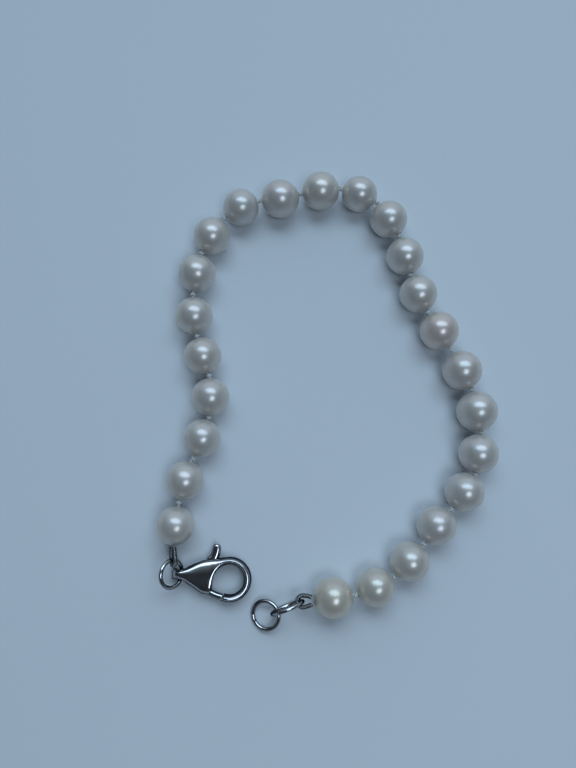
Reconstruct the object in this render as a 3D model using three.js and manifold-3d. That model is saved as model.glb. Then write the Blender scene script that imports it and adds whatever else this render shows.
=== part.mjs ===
// A knotted pearl bracelet, laid open on a flat surface.
// Twenty-four drilled pearls sit on a silk thread with a knot between each pair. A loop of French wire
// at one end holds a jump ring and a lobster clasp; the loop at the other end holds a link and the
// end ring that the clasp fastens to.
// Millimetres, +Z up, the surface is Z = 0.

import * as THREE from 'three';
import { mergeVertices } from 'three/addons/utils/BufferGeometryUtils.js';
import Module from 'manifold-3d';

// Pearls and silk
const PEARL_SIZE = 6.3; // usual diameter of a pearl
const PEARL_SIDES = 14; // sides round the drill hole
const PEARL_STATIONS = 8; // steps from one drill mouth to the other
const DRILL_BORE = 0.8; // diameter of the drill hole
const SILK_THICK = 0.4; // diameter of the thread
const SILK_SIDES = 6;
const SILK_END = 0.25; // how far the thread stays inside the outer mouth of an end pearl
const KNOT_ACROSS = 0.9; // diameter of a knot
const KNOT_ROOM = 0.8; // usual room for a knot between two pearls
const KNOT_CLEARANCE = 0.1; // between a knot and the drill mouth on each side
const KNOT_SHOULDER = 0.8; // a knot's shoulders as a share of KNOT_ACROSS

// French wire loops, rings and link
const LOOP_WIRE = 0.7; // outer diameter of the coiled wire
const LOOP_CLEARANCE = 0.12; // between a loop and the wire or pearl beside it
const LEG_SPREAD = 0.5; // from the string's line to a leg of the loop, at the pearl
const LEG_MIDDLE = 0.4; // where a leg is halfway out to its bow, as a share of the loop's reach
const CLASP_LOOP_REACH = 2.2; // from the pearl to the wire that the loop holds
const RING_LOOP_REACH = 1.65;
const RING_LOOP_WIDEN = 0.1; // this loop lies open, wider than the wire needs
const RING_WIRE = 0.62; // wire of the jump ring and of the link
const RING_OUTER = 4.8; // jump ring at the clasp
const LINK_OUTER = 5.7; // link at the other end
const END_RING_WIRE = 0.65;
const END_RING_OUTER = 5.0;
const RING_CLEARANCE = 0.1; // between two wires that hang in each other
const RING_SIDES = 6; // sides of a wire
const RING_STEPS = 16; // steps round a ring

// Clasp, seen from above with its hook to the right
const CLASP_LENGTH = 12.5; // over the eye and the hook
const CLASP_THICK = 3.0; // across its flat faces
const CLASP_EDGE = 0.45; // rounding of its edges
const EYE_OUTER = 2.9; // eye seen from the side
const EYE_BORE = 1.6;
const EYE_WIDTH = 1.7;
const NECK_START = 0.85; // where the flat faces begin, from hook to eye, as a share of the way
const HOOK_OUTER = 6.9;
const HOOK_BORE = 4.5; // opening inside the hook
const HOOK_THIN = 0.75; // thickness one hook's width past its middle, as a share of CLASP_THICK
const MOUTH_TURN = 115; // where the round part of the opening begins, degrees round it
const TIP_TURN = -104; // where the hook's tip ends, degrees round the opening
const RIVET_ACROSS = 0.8;
const RIVET_SETBACK = 3.7; // from the middle of the hook back to the rivet
const RIVET_DROP = 1.35; // from the clasp's middle line down to the rivet
const RIVET_CLEARANCE = 0.1;
const RIVET_RECESS = 0.1; // how far its heads stay below the flat faces
const LEVER_THICK = 1.1;
const LEVER_CLEARANCE = 0.15; // between the lever and the slot
const LEVER_SWING = 22; // degrees from closed to open
const HUB_ACROSS = 1.5; // lever round the rivet
const TAB_REACH = 6.6; // from the rivet to the top of the thumb tab
const GATE_CLEARANCE = 0.12; // between the gate's end and the hook's tip

// How the pieces lie
const CLASP_LOOP_TURN = 12; // degrees from the first pearl's drill hole to its loop's line
const CLASP_TURN = 79.3; // degrees from that line to the clasp's length
const LOOP_LEAN = 30; // degrees that the clasp's loop leans out of the upright
const LOOP_SAG = 0.1; // how far the loop sinks from the pearl's drill hole to the ring
const EYE_SLACK = 0.08; // how far the ring's wire sits past the eye's middle, towards the clasp
const RING_LOOP_TURN = -5; // degrees from the last pearl's drill hole to its loop's line
const LINK_TURN = 18.5; // degrees from that line to the link's length
const END_SHARE = 0.85; // width between the string's ends, as a share of all that lies there

// The chosen points of the string's line on the surface, from the clasp to the end ring. Its width
// follows the clasp and rings between its ends, and its height follows the string's length.
const ROUTE = [
  [-15.5, -4.25], [-15.25, -1.25], [-14, 6], [-11.5, 12.5], [-10.25, 19.25], [-13.25, 33],
  [-13, 40.25], [-10.5, 47.25], [-5.5, 52.5], [1.25, 54], [8.25, 55.5], [15, 55],
  [20, 50], [24.5, 36.75], [31.25, 23.5], [33.25, 16.75], [33, 9.75], [30.5, 4],
  [25.75, -1.25], [21.25, -6.75], [16, -10.5], [9.5, -12], [6.25, -12.25],
];

// One row for each pearl: its diameter and its length along the drill hole as shares of PEARL_SIZE,
// and the room for the knot after it as a share of KNOT_ROOM
const PEARLS = [
  { across: 0.98, along: 0.97, knot: 1.35 },
  { across: 0.97, along: 0.98, knot: 1.35 },
  { across: 0.96, along: 0.97, knot: 0.9 },
  { across: 0.98, along: 0.98, knot: 1.05 },
  { across: 0.98, along: 0.97, knot: 1.1 },
  { across: 0.99, along: 0.99, knot: 1.4 },
  { across: 1.02, along: 1.01, knot: 1.05 },
  { across: 1.0, along: 1.01, knot: 1.25 },
  { across: 0.98, along: 0.98, knot: 0.8 },
  { across: 1.03, along: 1.04, knot: 0.8 },
  { across: 1.04, along: 1.03, knot: 0.6 },
  { across: 0.97, along: 0.98, knot: 0.9 },
  { across: 1.01, along: 1.0, knot: 1.1 },
  { across: 1.01, along: 1.01, knot: 0.8 },
  { across: 1.0, along: 1.01, knot: 1.05 },
  { across: 1.03, along: 1.02, knot: 1.45 },
  { across: 1.03, along: 1.03, knot: 0.75 },
  { across: 1.05, along: 1.04, knot: 0.65 },
  { across: 1.02, along: 1.0, knot: 0.55 },
  { across: 1.0, along: 0.98, knot: 1.05 },
  { across: 0.98, along: 0.99, knot: 1.1 },
  { across: 0.98, along: 0.98, knot: 0.75 },
  { across: 0.94, along: 0.95, knot: 0.9 },
  { across: 0.99, along: 0.99, knot: 0 },
];

// Upper edge of the clasp: how far along from the eye's middle to the hook's middle, and how far out
// as a share of the hook's radius
const UPPER_EDGE = [
  { along: 0.03, out: 0.3 },
  { along: 0.15, out: 0.42 },
  { along: 0.31, out: 0.63 },
  { along: 0.46, out: 0.77 },
  { along: 0.77, out: 0.92 },
  { along: 0.93, out: 0.985 },
];

// Lower edge: how far along from the eye's middle to the lip of the opening, and how far out as above
const LOWER_EDGE = [
  { along: 0.953, out: -0.77 },
  { along: 0.707, out: -0.74 },
  { along: 0.492, out: -0.58 },
  { along: 0.307, out: -0.45 },
  { along: 0.123, out: -0.32 },
];

// Inner edge of the opening on the clasp's side, down to its lip, as shares of the opening's radius
const MOUTH_EDGE = [
  { along: -0.74, out: 0.73 },
  { along: -0.98, out: 0.43 },
  { along: -1.14, out: 0.04 },
  { along: -1.19, out: -0.37 },
  { along: -1.18, out: -0.85 },
];

// Edge of the lever's arm and thumb tab, from its right side over the top to its left side: degrees
// round the rivet, and the distance from it as a share of TAB_REACH
const TAB_EDGE = [
  { turn: 70, reach: 0.3 },
  { turn: 70, reach: 0.72 },
  { turn: 72, reach: 0.88 },
  { turn: 74, reach: 0.96 },
  { turn: 77, reach: 1 },
  { turn: 82, reach: 1 },
  { turn: 85, reach: 0.95 },
  { turn: 86, reach: 0.78 },
  { turn: 89, reach: 0.69 },
  { turn: 94, reach: 0.62 },
  { turn: 95, reach: 0.3 },
];

// Lower and upper edge of the lever's gate: degrees round the rivet, and the distance from it as a
// share of the way to the gate's end
const GATE_LOWER = [
  { turn: -72, reach: 0.45 },
  { turn: -50, reach: 0.68 },
  { turn: -38, reach: 1 },
];
const GATE_UPPER = [
  { turn: -17, reach: 1 },
  { turn: -20, reach: 0.7 },
  { turn: -22, reach: 0.4 },
];

const PEARL_NACRE = new THREE.MeshStandardMaterial({ color: 0xe6e4df, roughness: 0.22, metalness: 0 });
const PALE_SILK = new THREE.MeshStandardMaterial({ color: 0xe9e6dc, roughness: 0.75, metalness: 0 });
const COILED_WIRE = new THREE.MeshStandardMaterial({ color: 0xb9bac0, roughness: 0.4, metalness: 1 });
const WHITE_GOLD = new THREE.MeshStandardMaterial({ color: 0xc9cbd0, roughness: 0.12, metalness: 1 });

const LINE_PASSES = 16; // rounds that bring the string's line to its length
const UP = new THREE.Vector3(0, 0, 1);
const wasm = await Module();
wasm.setup();

const radians = THREE.MathUtils.degToRad;

// The closed solid of a geometry, ready to be cut or joined
function solidOf(geometry) {
  const bare = geometry.clone();
  bare.deleteAttribute('normal');
  bare.deleteAttribute('uv');
  const merged = mergeVertices(bare, 1e-5);
  return new wasm.Manifold(
    new wasm.Mesh({
      numProp: 3,
      vertProperties: new Float32Array(merged.attributes.position.array),
      triVerts: new Uint32Array(merged.index.array),
    }),
  );
}

function geometryOf(solid) {
  const mesh = solid.getMesh();
  const geometry = new THREE.BufferGeometry();
  geometry.setAttribute('position', new THREE.BufferAttribute(new Float32Array(mesh.vertProperties), 3));
  geometry.setIndex(new THREE.BufferAttribute(new Uint32Array(mesh.triVerts), 1));
  geometry.computeVertexNormals();
  return geometry;
}

function named(name, geometry, material) {
  const mesh = new THREE.Mesh(geometry, material);
  mesh.name = name;
  return mesh;
}

// A point at a turn and distance round a centre
function polar(centre, degrees, distance) {
  const turn = radians(degrees);
  return new THREE.Vector2(
    centre.x + distance * Math.cos(turn),
    centre.y + distance * Math.sin(turn),
  );
}

function turnOf(centre, point) {
  return THREE.MathUtils.radToDeg(Math.atan2(point.y - centre.y, point.x - centre.x));
}

// Points of an arc, both ends included
function arcPoints(centre, radius, from, to, steps) {
  return Array.from({ length: steps + 1 }, (_, step) =>
    polar(centre, from + ((to - from) * step) / steps, radius),
  );
}

// Points of a smooth edge through a few given ones
function edgePoints(points, steps) {
  return new THREE.SplineCurve(points).getPoints(steps);
}

// A round wire or cord swept along a path
function sweptWire(path, diameter, sides, steps) {
  const section = new THREE.Shape();
  for (let side = 0; side < sides; side += 1) {
    const corner = polar(new THREE.Vector2(), (360 * side) / sides, diameter / 2);
    if (side === 0) section.moveTo(corner.x, corner.y);
    else section.lineTo(corner.x, corner.y);
  }
  section.closePath();
  return new THREE.ExtrudeGeometry(section, { extrudePath: path, steps, bevelEnabled: false });
}

// The string's line on the surface: the clasp and rings set the width between its ends, and it
// reaches as far from them as the string's length lets it
function stringLine(length) {
  const endWidth = END_SHARE * (RING_OUTER / 2 + CLASP_LENGTH + END_RING_OUTER + LINK_OUTER);
  const widen = endWidth / (ROUTE[ROUTE.length - 1][0] - ROUTE[0][0]);
  let reach = widen;
  let line;
  for (let pass = 0; pass < LINE_PASSES; pass += 1) {
    const points = ROUTE.map(([x, y]) => new THREE.Vector3(x * widen, y * reach, 0));
    line = new THREE.CatmullRomCurve3(points, false, 'centripetal');
    line.arcLengthDivisions = 40 * ROUTE.length;
    reach *= length / line.getLength();
  }
  return line;
}

// The string: each pearl centred on its line, its drill hole along the line, its belly on the surface
function layString() {
  const rows = PEARLS.map((row) => ({
    across: PEARL_SIZE * row.across,
    along: PEARL_SIZE * row.along,
    knot: KNOT_ROOM * row.knot,
  }));
  const length = rows.reduce((sum, row) => sum + row.along + row.knot, 0);
  const line = stringLine(length);
  let start = 0;
  return rows.map((row) => {
    const share = (start + row.along / 2) / length;
    start += row.along + row.knot;
    const axis = line.getTangentAt(share).normalize();
    const centre = line.getPointAt(share);
    centre.z = row.across / 2;
    const half = (row.along / 2) * Math.sqrt(1 - (DRILL_BORE / row.across) ** 2);
    return {
      ...row,
      axis,
      centre,
      mouthIn: centre.clone().addScaledVector(axis, -half),
      mouthOut: centre.clone().addScaledVector(axis, half),
    };
  });
}

// A drilled pearl, turned round its drill hole
function pearlGeometry({ across, along }) {
  const profile = [];
  const first = Math.asin(DRILL_BORE / across);
  for (let station = 0; station <= PEARL_STATIONS; station += 1) {
    const turn = first + ((Math.PI - 2 * first) * station) / PEARL_STATIONS;
    profile.push(new THREE.Vector2((across / 2) * Math.sin(turn), (-along / 2) * Math.cos(turn)));
  }
  profile.push(profile[0].clone());
  return new THREE.LatheGeometry(profile, PEARL_SIDES);
}

// A thread that swells into knots: one ring of corners for each section, closed at both ends
function threadGeometry(sections, sides) {
  const corners = [];
  const faces = [];
  for (const { centre, along, radius } of sections) {
    const across = new THREE.Vector3().crossVectors(UP, along).normalize();
    const upright = new THREE.Vector3().crossVectors(along, across).normalize();
    for (let side = 0; side < sides; side += 1) {
      const turn = (2 * Math.PI * side) / sides;
      const corner = centre.clone();
      corner.addScaledVector(across, radius * Math.cos(turn));
      corner.addScaledVector(upright, radius * Math.sin(turn));
      corners.push(corner.x, corner.y, corner.z);
    }
  }
  const last = (sections.length - 1) * sides;
  for (let ring = 0; ring < last; ring += sides) {
    for (let side = 0; side < sides; side += 1) {
      const next = (side + 1) % sides;
      const [a, b] = [ring + side, ring + next];
      faces.push(a, b, b + sides, a, b + sides, a + sides);
    }
  }
  for (let side = 1; side < sides - 1; side += 1) {
    faces.push(0, side + 1, side);
    faces.push(last, last + side, last + side + 1);
  }
  const geometry = new THREE.BufferGeometry();
  geometry.setAttribute('position', new THREE.Float32BufferAttribute(corners, 3));
  geometry.setIndex(faces);
  geometry.computeVertexNormals();
  return geometry;
}

// The silk runs straight through each pearl and swells into a knot between two of them, shorter where
// the two pearls stand at an angle
function silkGeometry(pearls) {
  const thin = SILK_THICK / 2;
  const thick = KNOT_ACROSS / 2;
  const swell = [
    { at: -0.5, radius: thin },
    { at: -0.3, radius: thick * KNOT_SHOULDER },
    { at: 0, radius: thick },
    { at: 0.3, radius: thick * KNOT_SHOULDER },
    { at: 0.5, radius: thin },
  ];
  const sections = [];
  pearls.forEach((pearl, index) => {
    const ends = [pearl.mouthIn.clone(), pearl.mouthOut.clone()];
    if (index === 0) ends[0].addScaledVector(pearl.axis, SILK_END);
    if (index === pearls.length - 1) ends[1].addScaledVector(pearl.axis, -SILK_END);
    ends.forEach((centre) => sections.push({ centre, along: pearl.axis, radius: thin }));
    const next = pearls[index + 1];
    if (!next) return;
    const middle = pearl.mouthOut.clone().lerp(next.mouthIn, 0.5);
    const along = next.mouthIn.clone().sub(pearl.mouthOut);
    const bend = Math.max(along.angleTo(pearl.axis), along.angleTo(next.axis));
    const room = along.length() - 2 * KNOT_CLEARANCE - KNOT_ACROSS * Math.sin(bend);
    along.normalize();
    for (const { at, radius } of swell) {
      sections.push({ centre: middle.clone().addScaledVector(along, at * room), along, radius });
    }
  });
  return threadGeometry(sections, SILK_SIDES);
}

// A loop of French wire: out of the pearl on one side of the line, round the held wire, and back
function loopGeometry({ mouth, line, side, reach, bow }) {
  const at = (along, out) => mouth.clone().addScaledVector(line, along).addScaledVector(side, out);
  const start = LOOP_CLEARANCE + LOOP_WIRE / 4; // the pearl curves away from the legs
  const points = [at(start, LEG_SPREAD), at(reach * LEG_MIDDLE, (LEG_SPREAD + bow) / 2)];
  for (let step = 0; step <= 6; step += 1) {
    const turn = (Math.PI * step) / 6;
    points.push(at(reach + bow * Math.sin(turn), bow * Math.cos(turn)));
  }
  points.push(at(reach * LEG_MIDDLE, -(LEG_SPREAD + bow) / 2), at(start, -LEG_SPREAD));
  return sweptWire(new THREE.CatmullRomCurve3(points), LOOP_WIRE, 8, 18);
}

// A closed ring of round wire round its centre, in the plane of the two given directions
function ringMesh(name, { centre, along, across, outer, wire }) {
  const geometry = new THREE.TorusGeometry((outer - wire) / 2, wire / 2, RING_SIDES, RING_STEPS);
  const mesh = named(name, geometry, WHITE_GOLD);
  const axis = new THREE.Vector3().crossVectors(along, across);
  mesh.quaternion.setFromRotationMatrix(new THREE.Matrix4().makeBasis(along, across, axis));
  mesh.position.copy(centre);
  return mesh;
}

const HOOK_RADIUS = HOOK_OUTER / 2;
const BORE_RADIUS = HOOK_BORE / 2;
const EYE_BACK = CLASP_LENGTH - HOOK_RADIUS - EYE_OUTER / 2; // from the hook's middle to the eye's
const HOOK_MIDDLE = new THREE.Vector2(0, 0);
const RIVET_PLACE = new THREE.Vector2(-RIVET_SETBACK, -RIVET_DROP);
const TIP_INNER = polar(HOOK_MIDDLE, TIP_TURN, BORE_RADIUS);
const TIP_SWING = RIVET_PLACE.distanceTo(TIP_INNER); // the tip is cut along the gate's swing
const GATE_REACH = TIP_SWING - GATE_CLEARANCE;

// Where the hook's outer edge meets its tip, which is cut round the rivet: degrees round the hook
function tipOuterTurn() {
  const apart = RIVET_PLACE.length();
  const along = (apart ** 2 + HOOK_RADIUS ** 2 - TIP_SWING ** 2) / (2 * apart);
  const turn = THREE.MathUtils.radToDeg(Math.acos(along / HOOK_RADIUS));
  return turnOf(HOOK_MIDDLE, RIVET_PLACE) + turn;
}

// Outline of the clasp's body, eye and hook, seen from above
function claspOutline() {
  const mouthPoint = ({ along, out }) => new THREE.Vector2(along * BORE_RADIUS, out * BORE_RADIUS);
  const mouthEdge = MOUTH_EDGE.map(mouthPoint).reverse();
  const edgePoint = (end) => ({ along, out }) =>
    new THREE.Vector2(THREE.MathUtils.lerp(-EYE_BACK, end.x, along), out * HOOK_RADIUS);
  const eyeLeft = -EYE_BACK - EYE_OUTER / 2;
  const upperEdge = UPPER_EDGE.map(edgePoint(HOOK_MIDDLE)).reverse();
  const lowerEdge = LOWER_EDGE.map(edgePoint(mouthEdge[0])).reverse();
  const topTurn = turnOf(HOOK_MIDDLE, upperEdge[0]) - 1; // a degree short of the straight edge
  return new THREE.Shape([
    ...arcPoints(HOOK_MIDDLE, HOOK_RADIUS, tipOuterTurn(), topTurn, 20),
    ...edgePoints(upperEdge, 10),
    new THREE.Vector2(eyeLeft, EYE_WIDTH / 2),
    new THREE.Vector2(eyeLeft, -EYE_WIDTH / 2),
    ...edgePoints(lowerEdge, 8),
    ...edgePoints(mouthEdge, 8),
    ...arcPoints(HOOK_MIDDLE, BORE_RADIUS, MOUTH_TURN, TIP_TURN, 18),
  ]);
}

// The clasp seen from the side: a round eye, then a straight body that thins a little round the hook
function sideOutline() {
  const half = CLASP_THICK / 2;
  const eye = new THREE.Vector2(-EYE_BACK, 0);
  const neck = -EYE_BACK * NECK_START;
  return new THREE.Shape([
    ...arcPoints(eye, EYE_OUTER / 2, 90, 270, 10),
    new THREE.Vector2(neck, -half),
    new THREE.Vector2(0, -half),
    new THREE.Vector2(HOOK_OUTER, -half * HOOK_THIN),
    new THREE.Vector2(HOOK_OUTER, half * HOOK_THIN),
    new THREE.Vector2(0, half),
    new THREE.Vector2(neck, half),
  ]);
}

// The slot that the lever swings in: a fan for the gate, a fan for the arm, and the hub between them
function slotOutline() {
  const marginAt = (distance) => THREE.MathUtils.radToDeg(LEVER_CLEARANCE / distance);
  const hubMargin = marginAt(HUB_ACROSS / 2);
  const armMargin = marginAt(TAB_EDGE[0].reach * TAB_REACH);
  const hub = HUB_ACROSS / 2 + LEVER_CLEARANCE;
  const armLow = TAB_EDGE[0].turn - armMargin;
  const armHigh = TAB_EDGE[TAB_EDGE.length - 1].turn + LEVER_SWING + armMargin;
  const gateLow = GATE_LOWER[0].turn - hubMargin;
  const gateHigh = GATE_UPPER[0].turn + LEVER_SWING + hubMargin;
  return new THREE.Shape([
    ...arcPoints(RIVET_PLACE, hub, armHigh, gateLow + 360, 10),
    ...arcPoints(RIVET_PLACE, GATE_REACH, gateLow, gateHigh, 6),
    ...arcPoints(RIVET_PLACE, hub, gateHigh, armLow, 4),
    ...arcPoints(RIVET_PLACE, TAB_REACH, armLow, armHigh, 4),
  ]);
}

function leverOutline() {
  const rivetPoint = (scale) => ({ turn, reach }) => polar(RIVET_PLACE, turn, reach * scale);
  const hub = HUB_ACROSS / 2;
  const armRight = TAB_EDGE[0].turn;
  const armLeft = TAB_EDGE[TAB_EDGE.length - 1].turn;
  return new THREE.Shape([
    ...GATE_LOWER.map(rivetPoint(GATE_REACH)),
    ...GATE_UPPER.map(rivetPoint(GATE_REACH)),
    ...arcPoints(RIVET_PLACE, hub, GATE_UPPER[0].turn, armRight, 4),
    ...TAB_EDGE.map(rivetPoint(TAB_REACH)),
    ...arcPoints(RIVET_PLACE, hub, armLeft, GATE_LOWER[0].turn + 360, 7),
  ]);
}

// An outline given the clasp's thickness about its middle plane
function slab(outline, thickness, edge = 0) {
  const geometry = new THREE.ExtrudeGeometry(outline, {
    depth: thickness - 2 * edge,
    bevelEnabled: edge > 0,
    bevelThickness: edge,
    bevelSize: edge,
    bevelOffset: -edge,
    bevelSegments: 2,
  });
  return geometry.translate(0, 0, edge - thickness / 2);
}

function uprightPin(place, diameter, length) {
  const geometry = new THREE.CylinderGeometry(diameter / 2, diameter / 2, length, 12);
  return geometry.rotateX(Math.PI / 2).translate(place.x, place.y, 0);
}

function claspBodyGeometry() {
  const side = new THREE.ExtrudeGeometry(sideOutline(), { depth: CLASP_LENGTH, bevelEnabled: false });
  side.rotateX(Math.PI / 2).translate(0, CLASP_LENGTH / 2, 0);
  const eyeHole = new THREE.CylinderGeometry(EYE_BORE / 2, EYE_BORE / 2, EYE_WIDTH * 2, 14);
  eyeHole.translate(-EYE_BACK, 0, 0);
  const rivetHole = uprightPin(RIVET_PLACE, RIVET_ACROSS + 2 * RIVET_CLEARANCE, CLASP_THICK * 2);
  const slot = slab(slotOutline(), LEVER_THICK + 2 * LEVER_CLEARANCE);
  return geometryOf(
    solidOf(slab(claspOutline(), CLASP_THICK, CLASP_EDGE))
      .intersect(solidOf(side))
      .subtract(solidOf(slot))
      .subtract(solidOf(eyeHole))
      .subtract(solidOf(rivetHole)),
  );
}

function claspLeverGeometry() {
  const rivetHole = uprightPin(RIVET_PLACE, RIVET_ACROSS + 2 * RIVET_CLEARANCE, CLASP_THICK);
  return geometryOf(
    solidOf(slab(leverOutline(), LEVER_THICK)).subtract(solidOf(rivetHole)),
  );
}

// The clasp stands on its flat face; its group's origin is the middle of the hook's opening
function buildClasp() {
  const clasp = new THREE.Group();
  clasp.add(named('clasp_body', claspBodyGeometry(), WHITE_GOLD));
  clasp.add(named('clasp_lever', claspLeverGeometry(), WHITE_GOLD));
  const rivet = uprightPin(RIVET_PLACE, RIVET_ACROSS, CLASP_THICK - 2 * RIVET_RECESS);
  clasp.add(named('clasp_rivet', rivet, WHITE_GOLD));
  return clasp;
}

// Clasp end: the loop leaves the first pearl, holds the jump ring, and the ring passes through the eye
function addClaspEnd(bracelet, pearl) {
  const line = pearl.axis.clone().negate().applyAxisAngle(UP, radians(CLASP_LOOP_TURN));
  const heading = line.clone().applyAxisAngle(UP, radians(CLASP_TURN));
  const sideways = new THREE.Vector3().crossVectors(UP, heading);
  const lean = radians(LOOP_LEAN);
  const loopSide = UP.clone().multiplyScalar(Math.cos(lean));
  loopSide.addScaledVector(new THREE.Vector3().crossVectors(UP, line), Math.sin(lean));
  const bow = (RING_WIRE / 2) / Math.cos(lean) + LOOP_WIRE / 2 + LOOP_CLEARANCE;
  const drop = new THREE.Vector3(0, 0, -LOOP_SAG / CLASP_LOOP_REACH);
  const loopLine = line.clone().add(drop).normalize();
  const mouth = pearl.mouthIn;
  bracelet.add(named(
    'loop_clasp_end',
    loopGeometry({ mouth, line: loopLine, side: loopSide, reach: CLASP_LOOP_REACH, bow }),
    COILED_WIRE,
  ));
  const held = mouth.clone().addScaledVector(loopLine, CLASP_LOOP_REACH);
  const ringRadius = (RING_OUTER - RING_WIRE) / 2;
  const centre = held.clone().addScaledVector(sideways, -ringRadius);
  const fall = Math.asin((centre.z - CLASP_THICK / 2) / (ringRadius - EYE_SLACK));
  const along = heading.clone().multiplyScalar(Math.cos(fall)).addScaledVector(UP, -Math.sin(fall));
  bracelet.add(ringMesh('jump_ring', {
    centre, along, across: sideways, outer: RING_OUTER, wire: RING_WIRE,
  }));
  const clasp = buildClasp();
  clasp.position.copy(centre).addScaledVector(along, ringRadius - EYE_SLACK);
  clasp.position.addScaledVector(heading, EYE_BACK);
  clasp.rotation.z = Math.atan2(heading.y, heading.x);
  bracelet.add(clasp);
}

// Ring end: the loop lies flat, the link stands on edge in it, and the end ring hangs in the link with
// its far side on the surface
function addRingEnd(bracelet, pearl) {
  const line = pearl.axis.clone().applyAxisAngle(UP, radians(RING_LOOP_TURN));
  const bow = RING_WIRE / 2 + LOOP_WIRE / 2 + LOOP_CLEARANCE + RING_LOOP_WIDEN;
  const side = new THREE.Vector3().crossVectors(UP, line);
  const mouth = pearl.mouthOut;
  bracelet.add(named(
    'loop_ring_end',
    loopGeometry({ mouth, line, side, reach: RING_LOOP_REACH, bow }),
    COILED_WIRE,
  ));
  const linkRadius = (LINK_OUTER - RING_WIRE) / 2;
  const heading = line.clone().applyAxisAngle(UP, radians(LINK_TURN));
  const held = mouth.clone().addScaledVector(line, RING_LOOP_REACH);
  const rise = Math.asin((held.z - LINK_OUTER / 2) / linkRadius);
  const linkCentre = held.clone().addScaledVector(heading, linkRadius * Math.cos(rise));
  linkCentre.z = LINK_OUTER / 2;
  bracelet.add(ringMesh('link', {
    centre: linkCentre, along: heading, across: UP, outer: LINK_OUTER, wire: RING_WIRE,
  }));
  const endRadius = (END_RING_OUTER - END_RING_WIRE) / 2;
  const crossing = (RING_WIRE + END_RING_WIRE) / 2 + RING_CLEARANCE;
  const reach = linkRadius - crossing + endRadius;
  const fall = Math.asin((linkCentre.z - END_RING_WIRE / 2) / (reach + endRadius));
  const along = heading.clone().multiplyScalar(Math.cos(fall)).addScaledVector(UP, -Math.sin(fall));
  const across = new THREE.Vector3().crossVectors(UP, heading);
  const centre = linkCentre.clone().addScaledVector(along, reach);
  bracelet.add(ringMesh('end_ring', {
    centre, along, across, outer: END_RING_OUTER, wire: END_RING_WIRE,
  }));
}

function buildBracelet() {
  const bracelet = new THREE.Group();
  const pearls = layString();
  pearls.forEach((pearl, index) => {
    const name = `pearl_${String(index + 1).padStart(2, '0')}`;
    const mesh = named(name, pearlGeometry(pearl), PEARL_NACRE);
    mesh.position.copy(pearl.centre);
    mesh.rotation.z = Math.atan2(pearl.axis.y, pearl.axis.x) - Math.PI / 2;
    bracelet.add(mesh);
  });
  bracelet.add(named('silk_thread', silkGeometry(pearls), PALE_SILK));
  addClaspEnd(bracelet, pearls[0]);
  addRingEnd(bracelet, pearls[pearls.length - 1]);
  return bracelet;
}

// The origin is the middle of the bracelet's bounding box, on the surface
const bracelet = buildBracelet();
const bounds = new THREE.Box3().setFromObject(bracelet, true);
const middle = bounds.getCenter(new THREE.Vector3());
bracelet.position.set(-middle.x, -middle.y, -bounds.min.z);

export default bracelet;
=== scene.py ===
"""Dresses a knotted pearl bracelet round its CAD frame.

Drilled nacre pearls on a silk thread with a knot between each pair, a loop of coiled French wire at
each end, and white gold rings with a lobster clasp whose lever turns on its rivet. Metres, +Z up.
"""

import math

import bmesh
import bpy
import numpy as np
from mathutils import Matrix, Vector


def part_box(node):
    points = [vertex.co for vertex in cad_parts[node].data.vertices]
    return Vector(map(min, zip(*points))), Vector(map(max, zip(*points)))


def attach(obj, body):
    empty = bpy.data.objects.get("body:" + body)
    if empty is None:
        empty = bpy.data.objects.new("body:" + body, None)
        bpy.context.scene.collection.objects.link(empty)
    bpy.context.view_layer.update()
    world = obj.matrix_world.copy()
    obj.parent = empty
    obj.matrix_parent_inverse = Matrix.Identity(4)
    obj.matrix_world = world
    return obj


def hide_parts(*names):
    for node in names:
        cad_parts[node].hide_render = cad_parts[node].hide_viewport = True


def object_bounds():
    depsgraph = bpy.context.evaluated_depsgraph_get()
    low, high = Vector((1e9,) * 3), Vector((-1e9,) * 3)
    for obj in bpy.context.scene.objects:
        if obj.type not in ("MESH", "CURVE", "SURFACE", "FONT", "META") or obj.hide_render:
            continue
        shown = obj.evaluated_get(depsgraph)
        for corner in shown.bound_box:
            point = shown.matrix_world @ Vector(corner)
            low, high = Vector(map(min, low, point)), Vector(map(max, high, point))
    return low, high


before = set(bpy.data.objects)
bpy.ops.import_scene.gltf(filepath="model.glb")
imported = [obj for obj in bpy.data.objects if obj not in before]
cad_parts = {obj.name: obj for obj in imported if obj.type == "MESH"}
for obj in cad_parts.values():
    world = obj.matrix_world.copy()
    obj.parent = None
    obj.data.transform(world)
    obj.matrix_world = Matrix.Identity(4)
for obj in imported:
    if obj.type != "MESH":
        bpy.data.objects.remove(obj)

bl_info = {
    "name": "Pearl bracelet",
    "version": (1, 0, 0),
    "blender": (4, 5, 0),
    "location": "View3D > Sidebar > Bracelet",
    "description": "Dresses a knotted pearl bracelet and its lobster clasp round the CAD frame",
    "category": "Object",
}

CAD_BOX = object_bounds()
MM = 0.001
PEARL_NODES = [f"pearl_{number:02d}" for number in range(1, 25)]
DRILL_BORE = 0.8 * MM
SILK_END = 0.25 * MM  # how far the silk stays inside the outer mouth of an end pearl

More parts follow.
